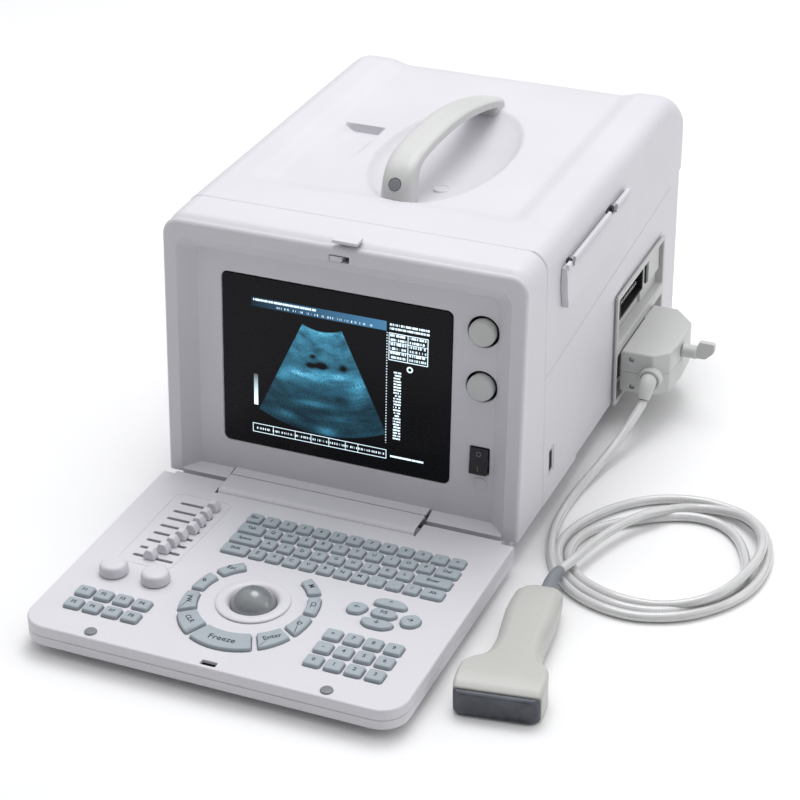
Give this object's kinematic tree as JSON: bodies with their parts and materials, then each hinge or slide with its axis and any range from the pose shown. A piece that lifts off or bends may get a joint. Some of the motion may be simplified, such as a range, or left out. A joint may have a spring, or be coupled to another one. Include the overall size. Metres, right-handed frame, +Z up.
{
  "type": "ultrasound scanner",
  "caption": "Portable ultrasound scanner: boxy case with a carrying handle and recessed screen, fold-down keyboard with trackball and sliders, and a plugged-in convex probe on a coiled cable.",
  "frame": {"origin": "centre of the bounding box at the table, measured without the cable, so z = 0 is the bottom of the feet", "axes": "+Z up, the screen faces -Y and the keyboard folds down towards -Y, the probe and its cable lie on the +X side"},
  "size_m": [0.5141, 0.696, 0.289],
  "materials": {
    "shell": "fine satin texture",
    "bezel": "fine satin texture",
    "key": "soft matt silicone",
    "light_grey": "satin",
    "mid_grey": "semi-gloss",
    "dark": "satin",
    "rubber": "matt",
    "glass": "polished",
    "metal": "brushed",
    "board": "solder mask",
    "lens": "smooth",
    "cable": "clear jacket over braid"
  },
  "bodies": {
    "main_unit": {"front_bezel": "bezel", "main_cover": "shell", "rear_panel": "light_grey", "base_pan": "shell", "foot_1": "rubber", "foot_2": "rubber", "foot_3": "rubber", "foot_4": "rubber", "carry_handle": "light_grey", "handle_cap": "mid_grey", "probe_holder_rail": "light_grey", "socket_bay": "light_grey", "probe_socket_upper": "dark", "probe_socket_lower": "dark", "display_glass": "glass", "display_module": "dark", "usb_port": "metal", "main_board": "board", "power_supply": "metal", "fan_housing": "dark", "mains_inlet": "dark", "hinge_pin": "metal"},
    "latch": {"latch_button": "shell"},
    "fan": {"fan_rotor": "dark"},
    "rocker": {"power_rocker": "dark"},
    "brightness": {"brightness_knob": "shell"},
    "contrast": {"contrast_knob": "shell"},
    "keyboard": {"keyboard_top_shell": "shell", "keyboard_bottom_shell": "shell", "hinge_cover": "bezel", "keyboard_board": "board", "trackball_ring": "shell", "trackball_socket": "dark", "bumper_1": "mid_grey", "bumper_2": "mid_grey"},
    "ball": {"trackball": "mid_grey"},
    "gain_slider_1": {"slider_1": "shell"},
    "gain_slider_2": {"slider_2": "shell"},
    "gain_slider_3": {"slider_3": "shell"},
    "gain_slider_4": {"slider_4": "shell"},
    "gain_slider_5": {"slider_5": "shell"},
    "gain_slider_6": {"slider_6": "shell"},
    "gain_slider_7": {"slider_7": "shell"},
    "gain_slider_8": {"slider_8": "shell"},
    "gain_dial_1": {"gain_knob_1": "shell"},
    "gain_dial_2": {"gain_knob_2": "shell"},
    "keys_main": {"keypad_main": "key"},
    "keys_left": {"keypad_left": "key"},
    "keys_numeric": {"keypad_numeric": "key"},
    "keys_arrows": {"keypad_arrows": "key"},
    "keys_ring": {"keypad_ring": "key"},
    "key_freeze": {"freeze_key": "key"},
    "key_enter": {"enter_key": "key"},
    "probe_set": {"connector_housing": "light_grey", "connector_relief": "light_grey", "probe_cable": "cable", "probe_relief": "mid_grey", "probe_body": "light_grey", "probe_lens": "lens"},
    "lever": {"lock_lever": "light_grey"}
  },
  "joints": [
    {"name": "keyboard_hinge", "type": "hinge", "parent": "main_unit", "child": "keyboard", "pos_m": [-0.04353, -0.1102, 0.017], "axis": [-1, 0, 0], "range_deg": [0, 94]},
    {"name": "latch_slide", "type": "slide", "parent": "main_unit", "child": "latch", "axis": [0, 1, 0], "range_m": [0, 0.005], "stiffness_N_per_m": 300},
    {"name": "fan_spin", "type": "hinge", "parent": "main_unit", "child": "fan", "pos_m": [-0.12353, 0.324, 0.104], "axis": [0, 1, 0], "continuous": true},
    {"name": "power_rocker_tilt", "type": "hinge", "parent": "main_unit", "child": "rocker", "pos_m": [0.07657, -0.08049, 0.0848], "axis": [1, 0, 0], "range_deg": [0, 12]},
    {"name": "brightness_turn", "type": "hinge", "parent": "main_unit", "child": "brightness", "pos_m": [0.07637, -0.07525, 0.19882], "axis": [0, -0.9974, 0.0722], "range_deg": [-140, 140]},
    {"name": "contrast_turn", "type": "hinge", "parent": "main_unit", "child": "contrast", "pos_m": [0.07627, -0.07871, 0.15094], "axis": [0, -0.9974, 0.0722], "range_deg": [-140, 140]},
    {"name": "trackball_roll", "type": "hinge", "parent": "keyboard", "child": "ball", "pos_m": [-0.04483, -0.2569, 0.0206], "axis": [1, 0, 0], "continuous": true},
    {"name": "gain_slider_1_slide", "type": "slide", "parent": "keyboard", "child": "gain_slider_1", "axis": [1, 0, 0], "range_m": [-0.0138, 0.0172]},
    {"name": "gain_slider_2_slide", "type": "slide", "parent": "keyboard", "child": "gain_slider_2", "axis": [1, 0, 0], "range_m": [-0.0195, 0.0115]},
    {"name": "gain_slider_3_slide", "type": "slide", "parent": "keyboard", "child": "gain_slider_3", "axis": [1, 0, 0], "range_m": [-0.0215, 0.0095]},
    {"name": "gain_slider_4_slide", "type": "slide", "parent": "keyboard", "child": "gain_slider_4", "axis": [1, 0, 0], "range_m": [-0.0235, 0.0075]},
    {"name": "gain_slider_5_slide", "type": "slide", "parent": "keyboard", "child": "gain_slider_5", "axis": [1, 0, 0], "range_m": [-0.0275, 0.0035]},
    {"name": "gain_slider_6_slide", "type": "slide", "parent": "keyboard", "child": "gain_slider_6", "axis": [1, 0, 0], "range_m": [-0.0275, 0.0035]},
    {"name": "gain_slider_7_slide", "type": "slide", "parent": "keyboard", "child": "gain_slider_7", "axis": [1, 0, 0], "range_m": [-0.028, 0.003]},
    {"name": "gain_slider_8_slide", "type": "slide", "parent": "keyboard", "child": "gain_slider_8", "axis": [1, 0, 0], "range_m": [-0.0285, 0.0025]},
    {"name": "gain_dial_1_turn", "type": "hinge", "parent": "keyboard", "child": "gain_dial_1", "pos_m": [-0.16663, -0.2606, 0.03], "axis": [0, 0, 1], "range_deg": [-140, 140]},
    {"name": "gain_dial_2_turn", "type": "hinge", "parent": "keyboard", "child": "gain_dial_2", "pos_m": [-0.12963, -0.2595, 0.03], "axis": [0, 0, 1], "range_deg": [-140, 140]},
    {"name": "keys_main_press", "type": "slide", "parent": "keyboard", "child": "keys_main", "axis": [0, 0, -1], "range_m": [0, 0.0012], "stiffness_N_per_m": 9000},
    {"name": "keys_left_press", "type": "slide", "parent": "keyboard", "child": "keys_left", "axis": [0, 0, -1], "range_m": [0, 0.0012], "stiffness_N_per_m": 2500},
    {"name": "keys_numeric_press", "type": "slide", "parent": "keyboard", "child": "keys_numeric", "axis": [0, 0, -1], "range_m": [0, 0.0012], "stiffness_N_per_m": 3500},
    {"name": "keys_arrows_press", "type": "slide", "parent": "keyboard", "child": "keys_arrows", "axis": [0, 0, -1], "range_m": [0, 0.0012], "stiffness_N_per_m": 2500},
    {"name": "keys_ring_press", "type": "slide", "parent": "keyboard", "child": "keys_ring", "axis": [0, 0, -1], "range_m": [0, 0.0012], "stiffness_N_per_m": 3500},
    {"name": "key_freeze_press", "type": "slide", "parent": "keyboard", "child": "key_freeze", "axis": [0, 0, -1], "range_m": [0, 0.0012], "stiffness_N_per_m": 900},
    {"name": "key_enter_press", "type": "slide", "parent": "keyboard", "child": "key_enter", "axis": [0, 0, -1], "range_m": [0, 0.0012], "stiffness_N_per_m": 900},
    {"name": "probe_unplug", "type": "slide", "parent": "main_unit", "child": "probe_set", "axis": [1, 0, 0], "range_m": [0, 0.03]},
    {"name": "plug_lock_lever", "type": "hinge", "parent": "probe_set", "child": "lever", "pos_m": [0.17147, 0.202, 0.06], "axis": [1, 0, 0], "range_deg": [0, 90]}
  ]
}
